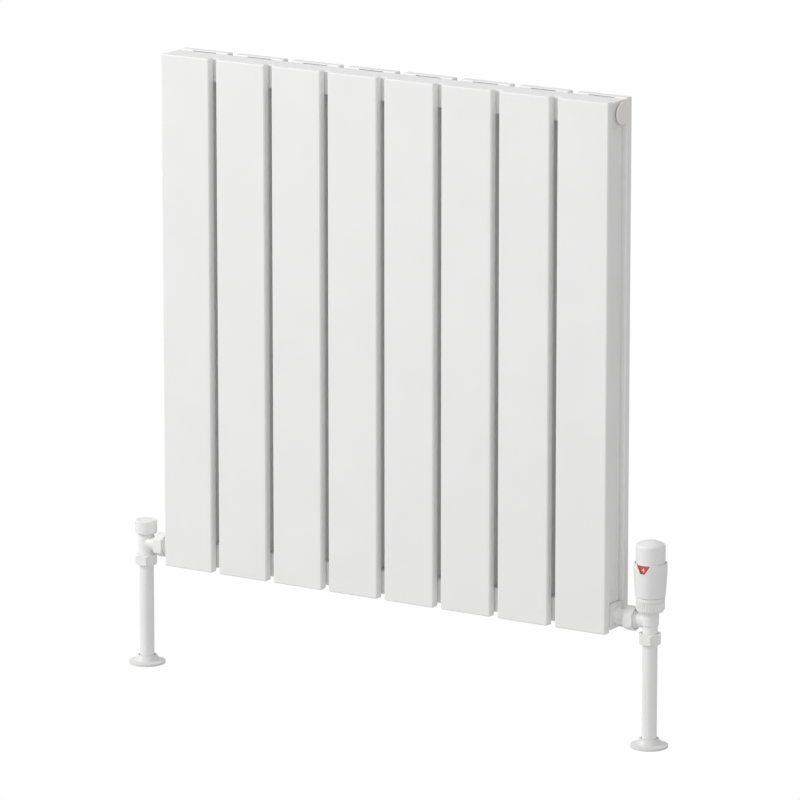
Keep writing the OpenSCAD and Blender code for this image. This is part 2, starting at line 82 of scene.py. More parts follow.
def z_over_branch(node, top):
    """Height of a node's top or foot over the branch axis, in millimetres."""
    low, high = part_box(node)
    return ((high if top else low).z - BRANCH_Z) / MM


def radius_of(node):
    return size_of(node).x / 2 / MM


# ------------------------------------------------------------------ materials


def new_material(name, colour, roughness, metallic=0.0, specular=0.5, coat=0.0):
    """A Principled material with even values set on the shader itself."""
    material = bpy.data.materials.new(name)
    material.use_nodes = True
    shader = material.node_tree.nodes["Principled BSDF"]
    shader.inputs["Base Color"].default_value = (*colour, 1)
    shader.inputs["Roughness"].default_value = roughness
    shader.inputs["Metallic"].default_value = metallic
    shader.inputs["Specular IOR Level"].default_value = specular
    shader.inputs["Coat Weight"].default_value = coat
    material.diffuse_color = (*colour, 1)
    return material, shader


def noise(tree, coords, scale, detail=2.0, stretch=(1, 1, 1)):
    """Noise in object space, its scale in cycles a metre."""
    mapping = tree.nodes.new("ShaderNodeMapping")
    mapping.inputs["Scale"].default_value = [scale * s for s in stretch]
    tree.links.new(coords.outputs["Object"], mapping.inputs["Vector"])
    texture = tree.nodes.new("ShaderNodeTexNoise")
    texture.inputs["Scale"].default_value = 1.0
    texture.inputs["Detail"].default_value = detail
    tree.links.new(mapping.outputs["Vector"], texture.inputs["Vector"])
    return texture.outputs["Fac"]


def ramp(tree, value, low, high, out_low, out_high):
    """Maps a value from one range to another."""
    node = tree.nodes.new("ShaderNodeMapRange")
    for label, number in (("From Min", low), ("From Max", high), ("To Min", out_low), ("To Max", out_high)):
        node.inputs[label].default_value = number
    tree.links.new(value, node.inputs["Value"])
    return node.outputs["Result"]


def add_bumps(tree, shader, layers):
    """Chains bump layers, each a height and its depth in metres."""
    normal = None
    for height, depth in layers:
        bump = tree.nodes.new("ShaderNodeBump")
        bump.inputs["Strength"].default_value = 1.0
        bump.inputs["Distance"].default_value = depth
        tree.links.new(height, bump.inputs["Height"])
        if normal is not None:
            tree.links.new(normal, bump.inputs["Normal"])
        normal = bump.outputs["Normal"]
    tree.links.new(normal, shader.inputs["Normal"])


def tint(tree, shader, value, dark, light):
    """Colour that drifts between two tones with a value."""
    mix = tree.nodes.new("ShaderNodeMix")
    mix.data_type = "RGBA"
    mix.inputs["A"].default_value = (*dark, 1)
    mix.inputs["B"].default_value = (*light, 1)
    tree.links.new(value, mix.inputs["Factor"])
    tree.links.new(mix.outputs["Result"], shader.inputs["Base Color"])


def surface(name, dark, light, rough, specks, waves, stretch=(1, 1, 1), metallic=0.0, specular=0.5,
            coat=0.0):
    """A finish with tone drift, uneven gloss and two scales of relief.

    rough is the lowest and highest roughness; specks and waves are (cycles a metre, depth in metres).
    """
    material, shader = new_material(name, light, sum(rough) / 2, metallic, specular, coat)
    tree = material.node_tree
    coords = tree.nodes.new("ShaderNodeTexCoord")
    drift = noise(tree, coords, 14, 3)
    tint(tree, shader, ramp(tree, drift, 0.3, 0.7, 0, 1), dark, light)
    gloss = noise(tree, coords, specks[0] * 0.35, 2, stretch)
    tree.links.new(ramp(tree, gloss, 0.3, 0.7, *rough), shader.inputs["Roughness"])
    fine = noise(tree, coords, specks[0], 2, stretch)
    broad = noise(tree, coords, waves[0], 1, stretch)
    add_bumps(tree, shader, [(fine, specks[1]), (broad, waves[1])])
    return material


WHITE_DARK = (0.845, 0.845, 0.841)
WHITE_LIGHT = (0.865, 0.865, 0.861)
POWDER = surface("white_powder_coat", WHITE_DARK, WHITE_LIGHT, (0.42, 0.5), (1100, 0.000012),
                 (260, 0.00001))
COATED_BRASS = surface("white_coated_brass", WHITE_DARK, WHITE_LIGHT, (0.36, 0.46), (1600, 0.00001),
                       (420, 0.00001))
PLASTIC = surface("white_moulded_plastic", (0.848, 0.848, 0.845), (0.862, 0.862, 0.859), (0.4, 0.48),
                  (3200, 0.000006), (500, 0.000004))
# Collar plastic set darker than the other white plastic: painted shade, standing in for the shade that falls
# on the floor collars.
SHADE_DARKENED_COLLAR_PLASTIC = surface("collar_plastic_with_painted_shade", (0.735, 0.735, 0.732), (0.755, 0.755, 0.752),
                         (0.4, 0.48), (3200, 0.000006), (500, 0.000004))
PIPE_COAT = surface("white_sleeve_coat", WHITE_DARK, WHITE_LIGHT, (0.34, 0.42), (1500, 0.000008),
                    (300, 0.000008), stretch=(1, 1, 0.25))
PLUG_GREY = surface("warm_grey_plastic", (0.83, 0.805, 0.785), (0.86, 0.84, 0.82), (0.38, 0.46),
                    (2600, 0.000006), (500, 0.000004))
BAND_RED = surface("orange_red_plastic", (0.5, 0.083, 0.034), (0.54, 0.093, 0.04), (0.38, 0.46),
                   (2800, 0.000006), (600, 0.000004))
NUMERAL_WHITE = surface("numeral_white", (0.8, 0.79, 0.78), (0.84, 0.83, 0.82), (0.45, 0.55),
                        (3000, 0.000004), (800, 0.000003))
GREY_RUBBER = surface("grey_seal_rubber", (0.42, 0.41, 0.4), (0.47, 0.46, 0.45), (0.6, 0.75),
                      (2400, 0.00002), (400, 0.00001))
RUBBER = surface("black_seal_rubber", (0.022, 0.022, 0.021), (0.032, 0.031, 0.03), (0.6, 0.75),
                 (2400, 0.00002), (400, 0.00001))
BRASS = surface("turned_brass", (0.62, 0.43, 0.18), (0.74, 0.54, 0.26), (0.22, 0.36),
                (900, 0.000012), (200, 0.000006), stretch=(1, 1, 9), metallic=1.0)
STEEL = surface("drawn_steel", (0.5, 0.5, 0.51), (0.6, 0.6, 0.61), (0.22, 0.34),
                (1400, 0.000008), (300, 0.000006), stretch=(1, 1, 6), metallic=1.0)
ZINC = surface("zinc_plated_sheet", (0.52, 0.53, 0.55), (0.64, 0.65, 0.67), (0.3, 0.5),
               (420, 0.00001), (90, 0.00001), metallic=1.0)
COPPER = surface("drawn_copper", (0.66, 0.3, 0.18), (0.78, 0.4, 0.26), (0.24, 0.38),
                 (1200, 0.000008), (260, 0.000006), stretch=(1, 1, 0.08), metallic=1.0)
GREY_PLASTIC = surface("grey_moulded_plastic", (0.3, 0.3, 0.3), (0.34, 0.34, 0.34), (0.4, 0.5),
                       (2400, 0.000008), (500, 0.000005))

# ------------------------------------------------------------------ mesh helpers


def piece(name, mesh_bm, material, body="radiator", nodes=(), smooth=35.0):
    """Turns a mesh in metres into a finished piece that rides on a body and stands for CAD nodes."""
    bmesh.ops.remove_doubles(mesh_bm, verts=mesh_bm.verts, dist=1e-7)
    bmesh.ops.recalc_face_normals(mesh_bm, faces=mesh_bm.faces)
    mesh = bpy.data.meshes.new(name)
    mesh_bm.to_mesh(mesh)
    mesh_bm.free()
    obj = bpy.data.objects.new(name, mesh)
    bpy.context.scene.collection.objects.link(obj)
    return finish_piece(obj, material, body, nodes, smooth)


def finish_piece(obj, material, body="radiator", nodes=(), smooth=35.0):
    obj.data.materials.clear()
    obj.data.materials.append(material)
    obj.data.shade_smooth()
    obj.data.set_sharp_from_angle(angle=math.radians(smooth))
    weighted = obj.modifiers.new("even_normals", "WEIGHTED_NORMAL")
    weighted.keep_sharp = True
    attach(obj, body)
    if nodes:
        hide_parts(*nodes)
    return obj


def bake_modifiers(obj):
    """Makes the modifiers' result the object's own mesh."""
    graph = bpy.context.evaluated_depsgraph_get()
    mesh = bpy.data.meshes.new_from_object(obj.evaluated_get(graph))
    obj.modifiers.clear()
    obj.data = mesh


def scratch_object(mesh_bm):
    """A bare object for a boolean, deleted by combine()."""
    bmesh.ops.remove_doubles(mesh_bm, verts=mesh_bm.verts, dist=1e-7)
    bmesh.ops.recalc_face_normals(mesh_bm, faces=mesh_bm.faces)
    mesh = bpy.data.meshes.new("scratch")
    mesh_bm.to_mesh(mesh)
    mesh_bm.free()
    obj = bpy.data.objects.new("scratch", mesh)
    bpy.context.scene.collection.objects.link(obj)
    return obj


def combine(first, second, operation):
    """Boolean of two scratch meshes, as a new bmesh."""
    base, tool = scratch_object(first), scratch_object(second)
    modifier = base.modifiers.new("cut", "BOOLEAN")
    modifier.operation, modifier.solver, modifier.object = operation, "EXACT", tool
    bake_modifiers(base)
    result = bmesh.new()
    result.from_mesh(base.data)
    for obj in (base, tool):
        bpy.data.objects.remove(obj)
    return result


def soften(mesh_bm, width, segments=2, angle=30.0):
    """Rounds every edge sharper than an angle; width in millimetres."""
    sharp = [e for e in mesh_bm.edges
             if len(e.link_faces) == 2 and e.calc_face_angle(0) > math.radians(angle)]
    bmesh.ops.bevel(mesh_bm, geom=sharp, offset=width * MM, offset_type="OFFSET", segments=segments,
                    profile=0.5, affect="EDGES", clamp_overlap=True)
    return mesh_bm


def join(meshes):
    """One bmesh from several."""
    whole = bmesh.new()
    for part in meshes:
        mesh = bpy.data.meshes.new("part")
        part.to_mesh(mesh)
        part.free()
        whole.from_mesh(mesh)
        bpy.data.meshes.remove(mesh)
    return whole


def placed(mesh_bm, matrix):
    bmesh.ops.transform(mesh_bm, matrix=matrix, verts=mesh_bm.verts)
    if matrix.determinant() < 0:
        bmesh.ops.reverse_faces(mesh_bm, faces=mesh_bm.faces)
    return mesh_bm


def block(low, high):
    """Closed box between two corners, in metres."""
    mesh_bm = bmesh.new()
    size = Vector(high) - Vector(low)
    centre = (Vector(high) + Vector(low)) / 2
    place = Matrix.Translation(centre) @ Matrix.Diagonal((*size, 1))
    bmesh.ops.create_cube(mesh_bm, size=1.0, matrix=place)
    return mesh_bm


def prism(outline, z0, z1):
    """Closed prism of an outline in millimetres, between two heights in millimetres."""
    mesh_bm = bmesh.new()
    foot = [mesh_bm.verts.new((x * MM, y * MM, z0 * MM)) for x, y in outline]
    head = [mesh_bm.verts.new((x * MM, y * MM, z1 * MM)) for x, y in outline]
    count = len(outline)
    for i in range(count):
        j = (i + 1) % count
        mesh_bm.faces.new((foot[i], foot[j], head[j], head[i]))
    mesh_bm.faces.new(foot[::-1])
    mesh_bm.faces.new(head)
    return mesh_bm


def rounded(corners, closed=True):
    """Outline points from corners (x, y, radius), each radius drawn as an arc."""
    points = []
    count = len(corners)
    for i, (x, y, radius) in enumerate(corners):
        here = Vector((x, y))
        if radius <= 0 or (not closed and i in (0, count - 1)):
            points.append(tuple(here))
            continue
        before = Vector(corners[i - 1][:2]) - here
        after = Vector(corners[(i + 1) % count][:2]) - here
        opening = before.angle(after)
        reach = min(radius / math.tan(opening / 2), 0.495 * before.length, 0.495 * after.length)
        radius = reach * math.tan(opening / 2)
        middle = (before.normalized() + after.normalized()).normalized()
        centre = here + middle * (radius / math.sin(opening / 2))
        start = here + before.normalized() * reach - centre
        end = here + after.normalized() * reach - centre
        sweep = start.angle_signed(end)
        steps = max(2, math.ceil(abs(math.degrees(sweep)) / 15))
        for k in range(steps + 1):
            turn = Matrix.Rotation(-sweep * k / steps, 2)
            points.append(tuple(centre + turn @ start))
    return points


def lathe(corners, steps=96, wave=None):
    """Solid of revolution about +Z from corners (radius, height, rounding) in millimetres.

    The outline is closed, or open where it starts and ends on the axis. wave(angle, r, z) may change
    the radius of a point.
    """
    on_axis = corners[0][0] == 0 and corners[-1][0] == 0
    outline = rounded(corners, closed=not on_axis)
    mesh_bm = bmesh.new()
    rings = []
    for r, z in outline:
        if r < 1e-6:
            rings.append([mesh_bm.verts.new((0, 0, z * MM))])
            continue
        ring = []
        for k in range(steps):
            a = 2 * math.pi * k / steps
            rr = wave(a, r, z) if wave else r
            ring.append(mesh_bm.verts.new((rr * math.cos(a) * MM, rr * math.sin(a) * MM, z * MM)))
        rings.append(ring)
    pairs = list(zip(rings, rings[1:])) + ([] if on_axis else [(rings[-1], rings[0])])
    for low, high in pairs:
        for k in range(steps):
            j = (k + 1) % steps
            corner = [low[k % len(low)], low[j % len(low)], high[j % len(high)], high[k % len(high)]]
            corner = list(dict.fromkeys(corner))
            if len(corner) > 2:
                mesh_bm.faces.new(corner)
    return mesh_bm


def upright(axis):
    return Matrix.Translation(axis)


def along_branch(axis, side):
    """Lays local +Z along the branch, towards the radiator; side is the branch's sign along X."""
    return Matrix.Translation(axis) @ Matrix.Rotation(side * math.pi / 2, 4, "Y")


# ------------------------------------------------------------------ radiator


def flat_panel(name, node, behind_header):
    """Steel panel with rounded edges; a rear one has the narrow dark slot seen over the header."""
    low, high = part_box(node)
    edge = 2.0
    mesh_bm = block(low, high)
    upright_edges = [e for e in mesh_bm.edges if abs(e.verts[0].co.z - e.verts[1].co.z) > 0.1]
    bmesh.ops.bevel(mesh_bm, geom=upright_edges, offset=edge * MM, offset_type="OFFSET", segments=6,
                    profile=0.5, affect="EDGES")
    rims = [e for e in mesh_bm.edges if len({round(f.normal.z) for f in e.link_faces}) == 2]
    bmesh.ops.bevel(mesh_bm, geom=rims, offset=1.6 * MM, offset_type="OFFSET", segments=5,
                    profile=0.5, affect="EDGES")
    if behind_header:
        slot_half, slot_depth, slot_high = 16 * MM, 3 * MM, 1.3 * MM
        middle, top = (low.x + high.x) / 2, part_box("top_header")[1].z
        slot = block((middle - slot_half, low.y - MM, top - slot_high),
                     (middle + slot_half, low.y + slot_depth, top + 0.1 * MM))
        mesh_bm = combine(mesh_bm, slot, "DIFFERENCE")
    return piece(name, mesh_bm, POWDER, nodes=[node], smooth=50)


def header_bar(name, node):
    low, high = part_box(node)
    mesh_bm = block(low, high)
    long_edges = [e for e in mesh_bm.edges if abs(e.verts[0].co.x - e.verts[1].co.x) > 0.1]
    bmesh.ops.bevel(mesh_bm, geom=long_edges, offset=2.0 * MM, offset_type="OFFSET", segments=5,
                    profile=0.5, affect="EDGES")
    return piece(name, mesh_bm, POWDER, nodes=[node], smooth=50)


def islands(node):
    """Boxes of the separate solids in one CAD node."""
    mesh_bm = bmesh.new()
    mesh_bm.from_mesh(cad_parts[node].data)
    bmesh.ops.remove_doubles(mesh_bm, verts=mesh_bm.verts, dist=1e-6)
    left, found = set(mesh_bm.verts), []
    while left:
        stack = [left.pop()]
        group = [stack[0].co.copy()]
        while stack:
            for edge in stack.pop().link_edges:
                for vert in edge.verts:
                    if vert in left:
                        left.remove(vert)
                        stack.append(vert)
                        group.append(vert.co.copy())
        found.append((Vector([min(c[i] for c in group) for i in range(3)]),
                      Vector([max(c[i] for c in group) for i in range(3)])))
    mesh_bm.free()
    return sorted(found, key=lambda b: (round(b[0].z, 4), round(b[0].x, 4), round(b[0].y, 4)))


def weld_pads(name, node):
    """Raised welds between panels and a header, each softly rounded all round."""
    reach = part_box(f"front_panel_{PANEL_COUNT}")[1].x - 2.0 * MM
    outer = max(high.x for low, high in islands(node))
    parts = []
    for low, high in islands(node):
        if high.x > outer - MM:
            high.x = reach
        if low.x < MM - outer:
            low.x = -reach
        mesh_bm = block(low, high)
        flat = [e for e in mesh_bm.edges if abs(e.verts[0].co.y - e.verts[1].co.y) > 0.001]
        bmesh.ops.bevel(mesh_bm, geom=flat, offset=1.4 * MM, offset_type="OFFSET", segments=4,
                        profile=0.5, affect="EDGES")
        parts.append(mesh_bm)
    return piece(name, join(parts), POWDER, nodes=[node], smooth=50)


def convector(name, node, opening):
    """Bent sheet channels on the backs of the panels; opening is the sign of Y they open towards."""
    sheet, bend = 1.0, 1.6
    parts = []
    for low, high in islands(node):
        half = (high.x - low.x) / 2 / MM
        leg = (high.y - low.y) / MM
        corners = [(-half, leg, 0.3), (-half, 0, bend + sheet), (half, 0, bend + sheet), (half, leg, 0.3),
                   (half - sheet, leg, 0.3), (half - sheet, sheet, bend), (-half + sheet, sheet, bend),
                   (-half + sheet, leg, 0.3)]
        mesh_bm = prism(rounded(corners), low.z / MM, high.z / MM)
        web_y = low.y if opening > 0 else high.y
        place = Matrix.Translation(((low.x + high.x) / 2, web_y, 0)) @ Matrix.Diagonal((1, opening, 1, 1))
        parts.append(placed(mesh_bm, place))
    return piece(name, join(parts), POWDER, nodes=[node], smooth=40)


BUSH_R = (islands("header_bushes")[0][1].y - islands("header_bushes")[0][0].y) / 2 / MM
BUSH_BORE_R = 9.9
PLATE_CORNER_R = 0.8
PLUG_TRIM = 0.8             # plug heads are turned this much under the outline they were given
SEAL_TRIM = 0.9             # seals end this far inside the plug head
VENT_BORE_R = 2.55


def at_header_ends(build):
    """Copies of a mesh drawn along +Z, laid outwards at the four header ends."""
    caps = islands("header_end_caps")
    parts = []
    for low, high in caps:
        side = 1 if low.x > 0 else -1
        face = Vector((high.x if side > 0 else low.x, (low.y + high.y) / 2, (low.z + high.z) / 2))
        parts.append(placed(build(), Matrix.Translation(face) @ Matrix.Rotation(side * math.pi / 2, 4, "Y")))
    return join(parts)


def end_plate():
    """Header's end plate with its round hole, local +Z outwards."""
    low, high = islands("header_end_caps")[0]
    half_d, half_h = (high.y - low.y) / 2 / MM, (high.z - low.z) / 2 / MM
    thick = (high.x - low.x) / MM
    corners = [(x, y, PLATE_CORNER_R) for x, y in ((-half_h, -half_d), (half_h, -half_d),
                                                   (half_h, half_d), (-half_h, half_d))]
    plate = soften(prism(rounded(corners), -thick, 0), 0.3, 3, 60)
    hole = lathe([(0, -thick - 1, 0), (BUSH_R, -thick - 1, 0), (BUSH_R, 1, 0), (0, 1, 0)], 64)
    return combine(plate, hole, "DIFFERENCE")


def bush():
    """Threaded bush with a rounded lip that stands just proud of the end plate."""
    lip_r, proud, deep = BUSH_R + 0.2, 0.3, 13
    return lathe([(BUSH_BORE_R, -deep, 0.4), (BUSH_R, -deep, 0.4), (BUSH_R, 0, 0), (lip_r, 0, 0),
                  (lip_r, proud, 0.2), (BUSH_BORE_R, proud, 0.1)])


def end_piece(name, node, corners, material, side, body="radiator"):
    """Turned piece at an upper header end, its corners measured outwards from the node's inner end."""
    low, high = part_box(node)
    inner = Vector((low.x if side > 0 else high.x, centre_of(node).y, centre_of(node).z))
    place = Matrix.Translation(inner) @ Matrix.Rotation(side * math.pi / 2, 4, "Y")
    return piece(name, placed(lathe(corners), place), material, body, [node], smooth=40)


def closing_plug(name, node, side, bore):
    """Blanking or vent plug: thread, thin round head with a soft rim, and a faint dished face."""
    length = size_of(node).x / MM
    head_r = size_of(node).y / 2 / MM - PLUG_TRIM
    face = length
    corners = [(bore, 0, 0), (9.3, 0, 0)]
    for k in range(6):                              # thread turns
        z = 0.8 + 1.8 * k
        corners += [(9.3, z, 0), (9.88, z + 0.6, 0), (9.88, z + 0.9, 0), (9.3, z + 1.5, 0)]
    corners += [(9.88, length - 2.7, 0), (head_r, length - 2.6, 0.5), (head_r, face, 1.3)]
    corners += [(head_r - 2.6, face - 0.12, 0.4), (bore, face - 0.12, 0)]
    return end_piece(name, node, corners, PLUG_GREY, side)


def build_radiator():
    for i in range(1, PANEL_COUNT + 1):
        flat_panel(f"front_panel_{i}_shell", f"front_panel_{i}", False)
        flat_panel(f"rear_panel_{i}_shell", f"rear_panel_{i}", True)
    header_bar("top_header_tube", "top_header")
    header_bar("bottom_header_tube", "bottom_header")
    weld_pads("front_welds", "front_weld_pads")
    weld_pads("rear_welds", "rear_weld_pads")
    convector("front_convector_sheets", "front_convectors", 1)
    convector("rear_convector_sheets", "rear_convectors", -1)
    piece("header_end_plates", at_header_ends(end_plate), POWDER, nodes=["header_end_caps"])
    piece("header_threaded_bushes", at_header_ends(bush), POWDER, nodes=["header_bushes"])
    closing_plug("blanking_plug_turned", "blanking_plug", 1, 0)
    closing_plug("air_vent_plug_turned", "air_vent_plug", -1, VENT_BORE_R)
    for node, head, side in (("blanking_plug_seal", "blanking_plug", 1),
                             ("air_vent_seal", "air_vent_plug", -1)):
        ring_r = size_of(head).y / 2 / MM - PLUG_TRIM - SEAL_TRIM
        thick = size_of(node).x / MM
        end_piece(f"{node}_ring", node,
                  [(9.95, 0, 0.2), (ring_r, 0, 0.4), (ring_r, thick, 0.4), (9.95, thick, 0.2)],
                  GREY_RUBBER, side)


# ------------------------------------------------------------------ valves


def hex_nut(flats, foot, head, bores, corner_chamfer=1.3):
    """Chamfered hexagon nut along +Z with tapered bores ((first radius, last radius), from, to)."""
    corner_r = flats / 2 / math.cos(math.pi / 6)
    outline = [(corner_r * math.cos(math.pi / 3 * k), corner_r * math.sin(math.pi / 3 * k))
               for k in range(6)]
    flat_r = flats / 2
    rise = corner_chamfer
    cone = lathe([(0, foot, 0), (flat_r - 0.1, foot, 0.3), (corner_r + 0.1, foot + rise, 0.6),
                  (corner_r + 0.1, head - rise, 0.6), (flat_r - 0.1, head, 0.3), (0, head, 0)], 120)
    nut = combine(soften(prism(outline, foot, head), 0.35, 3), cone, "INTERSECT")
    for (first_r, last_r), start, end in bores:
        drill = lathe([(0, start, 0), (first_r, start, 0), (last_r, end, 0), (0, end, 0)], 96)
        nut = combine(nut, drill, "DIFFERENCE")
    return nut


def saddle_branch(trunk_r, branch_r, reach, blend=0.12):
    """Branch tube whose root flares in a fillet on to a vertical trunk; local +Z runs along the branch."""
    columns = 96
    mesh_bm = bmesh.new()
    rings = []
    turns = [math.radians(degrees) for degrees in (90, 68, 45, 22, 0)]
    levels = [(-0.9, blend)] + [(blend * (1 - math.sin(a)), blend * (1 - math.cos(a))) for a in turns]
    for lift, grow in levels:
        ring = []
        for k in range(columns):
            a = 2 * math.pi * k / columns
            r = branch_r + grow
            across = min(abs(r * math.sin(a)), trunk_r * 0.995)
            root = math.sqrt(trunk_r ** 2 - across ** 2)
            ring.append(mesh_bm.verts.new((r * math.cos(a) * MM, r * math.sin(a) * MM, (root + lift) * MM)))
        rings.append(ring)
    end = [mesh_bm.verts.new((branch_r * math.cos(2 * math.pi * k / columns) * MM,
                              branch_r * math.sin(2 * math.pi * k / columns) * MM, reach * MM))
           for k in range(columns)]
    rings.append(end)
    for low, high in zip(rings, rings[1:]):
        for k in range(columns):
            j = (k + 1) % columns
            mesh_bm.faces.new((low[k], low[j], high[j], high[k]))
    mesh_bm.faces.new(rings[0][::-1])
    mesh_bm.faces.new(end)
    return mesh_bm


def thread_ridges(root_r, crest_r, start, end, pitch):
    """Corners of a row of thread ridges from one height up to another."""
    corners = []
    turns = int((end - start) / pitch)
    for k in range(turns):
        z = start + pitch * k
        corners += [(root_r, z, 0), (crest_r, z + 0.4 * pitch, 0), (crest_r, z + 0.6 * pitch, 0)]
    return corners + [(root_r, start + pitch * turns, 0)]


def valve_body(name, node, axis, side, trunk, trunk_r, branch_r):
    """Cast body: turned trunk, saddle branch, male thread for the union nut, drilled through."""
    body = lathe(trunk, 128)
    arm = placed(saddle_branch(trunk_r, branch_r, 18.2), along_branch(Vector(), side))
    body = combine(body, arm, "UNION")
    thread = thread_ridges(10.2, 10.95, 18.4, 24.0, 1.5)
    union_thread = lathe([(0, 16.4, 0), (10.9, 16.4, 0.3), (10.9, 18.4, 0)] + thread
                         + [(10.2, 24.5, 0.3), (0, 24.5, 0)])
    body = combine(body, placed(union_thread, along_branch(Vector(), side)), "UNION")
    top = trunk[-1][1]
    bore = lathe([(0, -21, 0), (7.5, -21, 0), (7.5, -9, 0), (4.5, -9, 0), (4.5, -6, 0.5), (6.8, -6, 0),
                  (6.8, top + 1, 0), (0, top + 1, 0)], 96)
    body = combine(body, bore, "DIFFERENCE")
    side_bore = lathe([(0, 0, 0), (5, 0, 0), (5, 26, 0), (0, 26, 0)], 64)
    body = combine(body, placed(side_bore, along_branch(Vector(), side)), "DIFFERENCE")
    return piece(name, placed(body, upright(axis)), COATED_BRASS, nodes=[node], smooth=17)


def turned(name, node, corners, axis, material, body="radiator", steps=128, wave=None,
           smooth=35):
    """Upright turned piece on a valve's axis."""
    mesh_bm = placed(lathe(corners, steps, wave), upright(axis))
    return piece(name, mesh_bm, material, body, [node], smooth)


def both_valves(build):
    """A mesh drawn along the branch or upright at both valves."""
    return join([placed(build(side), upright(axis)) for axis, side in VALVE_AXES])


NUT_FOOT = z_over_branch("compression_nuts", False)
NUT_TOP = z_over_branch("compression_nuts", True)
FLOOR = z_over_branch("copper_pipes", False)
SLEEVE_WALL = 0.8
COLLAR_BORE_R = 8.55


def compression_nut(side):
    flats = size_of("compression_nuts").y / MM
    return hex_nut(flats, NUT_FOOT, NUT_TOP, [((8.6, 8.6), NUT_FOOT - 1, NUT_FOOT + 2),
                                              ((10, 10), NUT_FOOT + 1.5, NUT_TOP - 1.5),
                                              ((9.4, 9.7), NUT_TOP - 1.6, NUT_TOP + 1)])


def union_nut(side):
    flats = size_of("union_nuts").y / MM
    nut = hex_nut(flats, 17, 29, [((12.2, 11.1), 16.5, 19), ((11, 11), 18.9, 26.5),
                                 ((9.1, 9.1), 26, 30), ((11.6, 12.2), 27.8, 30)], 1.5)
    return placed(nut, along_branch(Vector(), side))


def tail(side):
    """Tail piece: collar, neck with a soft groove, raised ring at the bush, and thread inside it."""
    reach = (size_of("valve_tails").x / 2 - centre_of("valve_tails").x) / MM
    low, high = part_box("header_bushes")
    inner_end = (abs(TRV_AXIS.x) - min(abs(low.x), high.x)) / MM
    corners = [(6.5, 24.5, 0.3), (10.8, 24.5, 0.3), (10.8, 26.5, 0), (9.1, 26.5, 0), (9.1, 27.9, 0),
               (11.2, 27.9, 0.2), (11.2, 29.8, 0.5), (9.1, 29.8, 0.4), (9.1, 38.6, 0.3),
               (9.7, 39.2, 0.3), (9.7, inner_end, 0)]
    corners += thread_ridges(9.3, 9.88, inner_end + 0.4, inner_end + 11.5, 1.8)
    corners += [(9.3, inner_end + 12, 0.4), (6.5, inner_end + 12, 0.4)]
    return placed(lathe(corners, 96), along_branch(Vector(), side))


def pipe_sleeve(side):
    outer = size_of("pipe_sleeves").y / 2 / MM
    inner = outer - SLEEVE_WALL
    return lathe([(inner, FLOOR, 0.2), (outer, FLOOR, 0.3), (outer, NUT_FOOT, 0.3), (inner, NUT_FOOT, 0.2)])


def floor_collar(name, node, axis):
    """Two-stage floor collar: thin disc with a soft rim, a cove, and a lipped neck."""
    outer = radius_of(node) - 0.02
    foot = z_over_branch(node, False)
    top = z_over_branch(node, True)
    corners = [(COLLAR_BORE_R, foot, 0.2), (outer - 0.4, foot, 0.3), (outer, foot + 0.4, 0.3),
               (outer, foot + 2.9, 0.7), (14.9, foot + 4.0, 0.7), (11.5, top - 0.9, 0.6), (11.1, top, 0.4),
               (9.7, top, 0.3), (9.4, top - 2.0, 0.4), (COLLAR_BORE_R, top - 2.0, 0.2)]
    # The collar's darker plastic is painted shade, not a grey moulding.
    return turned(name, node, corners, axis, SHADE_DARKENED_COLLAR_PLASTIC, node, 128, smooth=32)


def knurled(teeth, depth, low, high):
    """Radius change that cuts upright teeth between two heights, fading at both ends."""
    def wave(angle, r, z):
        if r < RING_R - 1.4 or not low <= z <= high:
            return r
        phase = (angle * teeth / (2 * math.pi)) % 1.0
        tooth = abs(2 * phase - 1)
        fade = min(1, (z - low) / 0.5, (high - z) / 0.5)
        return r - depth * max(0.0, fade) * min(1, 1.6 * tooth)
    return wave


RING_R = radius_of("trv_ring_nut")
KNURLS = 40
KNURL_DEPTH = 0.85


def ring_nut():
    foot, top = z_over_branch("trv_ring_nut", False), z_over_branch("trv_ring_nut", True)
    chamfer = foot + 2.9
    corners = [(14.0, foot, 0.2), (14.6, foot, 0.3), (RING_R - 0.35, chamfer - 0.35, 0)]
    corners += [(RING_R, chamfer, 0)]
    corners += [(RING_R, chamfer + 0.5 + 0.9 * k, 0) for k in range(8)]
    corners += [(RING_R, top - 0.5, 0), (RING_R - 0.3, top, 0), (14.0, top, 0.2)]
    teeth = knurled(KNURLS, KNURL_DEPTH, chamfer - 0.4, top - 0.2)
    turned("trv_knurled_ring", "trv_ring_nut", corners, TRV_AXIS, COATED_BRASS, "radiator",
           KNURLS * 12, teeth, smooth=25)


SLEEVE_BORE_R = 17.4
NOTCH_DEPTH = 10
NOTCH_FOOT_DEG = 8.5        # half the notch's width at its foot, in degrees round the axis
NOTCH_RIM_DEG = 29.5        # and at the rim


def notch_half_angle(z, foot, rim):
    """Half the notch's angle at a height, in radians."""
    share = (z - foot) / (rim - foot)
    return math.radians(NOTCH_FOOT_DEG + (NOTCH_RIM_DEG - NOTCH_FOOT_DEG) * share)


